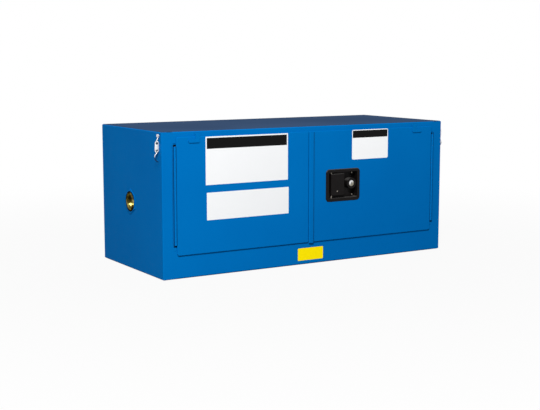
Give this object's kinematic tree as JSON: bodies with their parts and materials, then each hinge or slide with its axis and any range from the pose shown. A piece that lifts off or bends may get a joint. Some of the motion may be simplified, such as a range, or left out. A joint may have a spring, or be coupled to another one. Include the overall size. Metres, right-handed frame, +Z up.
{
  "type": "chemical safety cabinet",
  "caption": "Low double-walled steel cabinet with two sprung doors, long barrel hinges, recessed paddle latch, key lock, side vents, fusible link chains and a shelf over a leakproof tray.",
  "frame": {"origin": "on the floor under the middle of the body, so the doors, catches and chains stand outside the body's half width and half depth", "axes": "+X to the right seen from the front, +Y to the back, +Z up"},
  "size_m": [1.1248, 0.4683, 0.457],
  "materials": {
    "blue_paint": "satin powder coat with a fine texture",
    "slate_paint": "satin powder coat, darker on the top sheet",
    "zinc": "bright zinc plate",
    "galvanised": "galvanised sheet",
    "black_enamel": "semi-gloss black enamel",
    "bright_chrome": "polished nickel",
    "yellow_zinc": "yellow passivated zinc",
    "link_metal": "tinned metal"
  },
  "bodies": {
    "cabinet": {"top_panel": "slate_paint", "base_panel": "blue_paint", "back_panel": "blue_paint", "left_side_panel": "blue_paint", "right_side_panel": "blue_paint", "top_rail": "blue_paint", "front_sill": "blue_paint", "left_stile": "blue_paint", "right_stile": "blue_paint", "liner_top": "blue_paint", "liner_left": "blue_paint", "liner_right": "blue_paint", "liner_back": "blue_paint", "liner_tray": "blue_paint", "wall_spacers": "zinc", "shelf_standards": "galvanised", "shelf_clips": "galvanised", "rod_keepers": "zinc", "vent_flanges": "blue_paint", "flame_arresters": "galvanised", "left_frame_leaf": "blue_paint", "right_frame_leaf": "blue_paint", "hinge_pins": "zinc", "link_screws": "zinc", "ground_screw": "yellow_zinc", "ground_nut": "zinc"},
    "left_door": {"left_door_skin": "blue_paint", "left_door_pan": "blue_paint", "left_door_leaf": "blue_paint", "left_catch": "blue_paint", "strike_plate": "zinc"},
    "right_door": {"right_door_skin": "blue_paint", "right_door_pan": "blue_paint", "right_door_leaf": "blue_paint", "right_catch": "blue_paint", "centre_strip": "blue_paint", "latch_housing": "black_enamel", "latch_screws": "zinc", "latch_bracket": "zinc", "rod_guides": "zinc", "paddle_pin": "zinc", "lock_body": "black_enamel"},
    "paddle": {"paddle": "black_enamel"},
    "latch_bolt": {"latch_bolt": "zinc"},
    "upper_rod": {"upper_rod": "zinc"},
    "lower_rod": {"lower_rod": "zinc"},
    "lock": {"lock_plug": "bright_chrome", "lock_cam": "zinc"},
    "shelf": {"shelf": "galvanised"},
    "left_vent_plug": {"left_vent_plug": "yellow_zinc"},
    "right_vent_plug": {"right_vent_plug": "yellow_zinc"},
    "left_upper_hook": {"left_upper_hook": "zinc"},
    "left_fusible_link": {"left_fusible_link": "link_metal"},
    "left_lower_hook": {"left_lower_hook": "zinc"},
    "right_upper_hook": {"right_upper_hook": "zinc"},
    "right_fusible_link": {"right_fusible_link": "link_metal"},
    "right_lower_hook": {"right_lower_hook": "zinc"}
  },
  "joints": [
    {"name": "left_door_swing", "type": "hinge", "parent": "cabinet", "child": "left_door", "pos_m": [-0.5035, -0.232, 0.258], "axis": [0, 0, -1], "range_deg": [0, 180], "stiffness_Nm_per_rad": 1, "springref_deg": -34.38},
    {"name": "right_door_swing", "type": "hinge", "parent": "cabinet", "child": "right_door", "pos_m": [0.5035, -0.232, 0.258], "axis": [0, 0, 1], "range_deg": [0, 180], "stiffness_Nm_per_rad": 1, "springref_deg": -34.38},
    {"name": "paddle_turn", "type": "hinge", "parent": "right_door", "child": "paddle", "pos_m": [0.077, -0.2281, 0.2585], "axis": [0, 0, -1], "range_deg": [0, 35], "stiffness_Nm_per_rad": 0.2, "springref_deg": -17.19},
    {"name": "latch_bolt_slide", "type": "slide", "parent": "right_door", "child": "latch_bolt", "axis": [1, 0, 0], "range_m": [0, 0.008]},
    {"name": "upper_rod_slide", "type": "slide", "parent": "right_door", "child": "upper_rod", "axis": [0, 0, -1], "range_m": [0, 0.008]},
    {"name": "lower_rod_slide", "type": "slide", "parent": "right_door", "child": "lower_rod", "axis": [0, 0, 1], "range_m": [0, 0.008]},
    {"name": "lock_turn", "type": "hinge", "parent": "right_door", "child": "lock", "pos_m": [0.1555, -0.2345, 0.2599], "axis": [0, -1, 0], "range_deg": [0, 90]},
    {"name": "shelf_lift", "type": "slide", "parent": "cabinet", "child": "shelf", "axis": [0, 0, 1], "range_m": [0, 0.025]},
    {"name": "left_vent_plug_out", "type": "slide", "parent": "cabinet", "child": "left_vent_plug", "axis": [-1, 0, 0], "range_m": [0, 0.03]},
    {"name": "right_vent_plug_out", "type": "slide", "parent": "cabinet", "child": "right_vent_plug", "axis": [1, 0, 0], "range_m": [0, 0.03]},
    {"name": "left_upper_hook_swing", "type": "hinge", "parent": "cabinet", "child": "left_upper_hook", "pos_m": [-0.5486, -0.212, 0.445], "axis": [1, 0, 0], "range_deg": [-1, 45]},
    {"name": "left_fusible_link_swing", "type": "hinge", "parent": "left_upper_hook", "child": "left_fusible_link", "pos_m": [-0.554, -0.212, 0.4232], "axis": [0, 1, 0], "range_deg": [-1, 35]},
    {"name": "left_lower_hook_swing", "type": "hinge", "parent": "left_fusible_link", "child": "left_lower_hook", "pos_m": [-0.554, -0.212, 0.4001], "axis": [0, 1, 0], "range_deg": [-1, 40]},
    {"name": "right_upper_hook_swing", "type": "hinge", "parent": "cabinet", "child": "right_upper_hook", "pos_m": [0.5486, -0.212, 0.445], "axis": [1, 0, 0], "range_deg": [-1, 45]},
    {"name": "right_fusible_link_swing", "type": "hinge", "parent": "right_upper_hook", "child": "right_fusible_link", "pos_m": [0.554, -0.212, 0.4232], "axis": [0, -1, 0], "range_deg": [-1, 35]},
    {"name": "right_lower_hook_swing", "type": "hinge", "parent": "right_fusible_link", "child": "right_lower_hook", "pos_m": [0.554, -0.212, 0.4001], "axis": [0, -1, 0], "range_deg": [-1, 40]}
  ],
  "couplings": [
    {"joint": "latch_bolt_slide", "follows": "paddle_turn", "m_per_rad": 0.013},
    {"joint": "upper_rod_slide", "follows": "paddle_turn", "m_per_rad": 0.013},
    {"joint": "lower_rod_slide", "follows": "paddle_turn", "m_per_rad": 0.013}
  ]
}
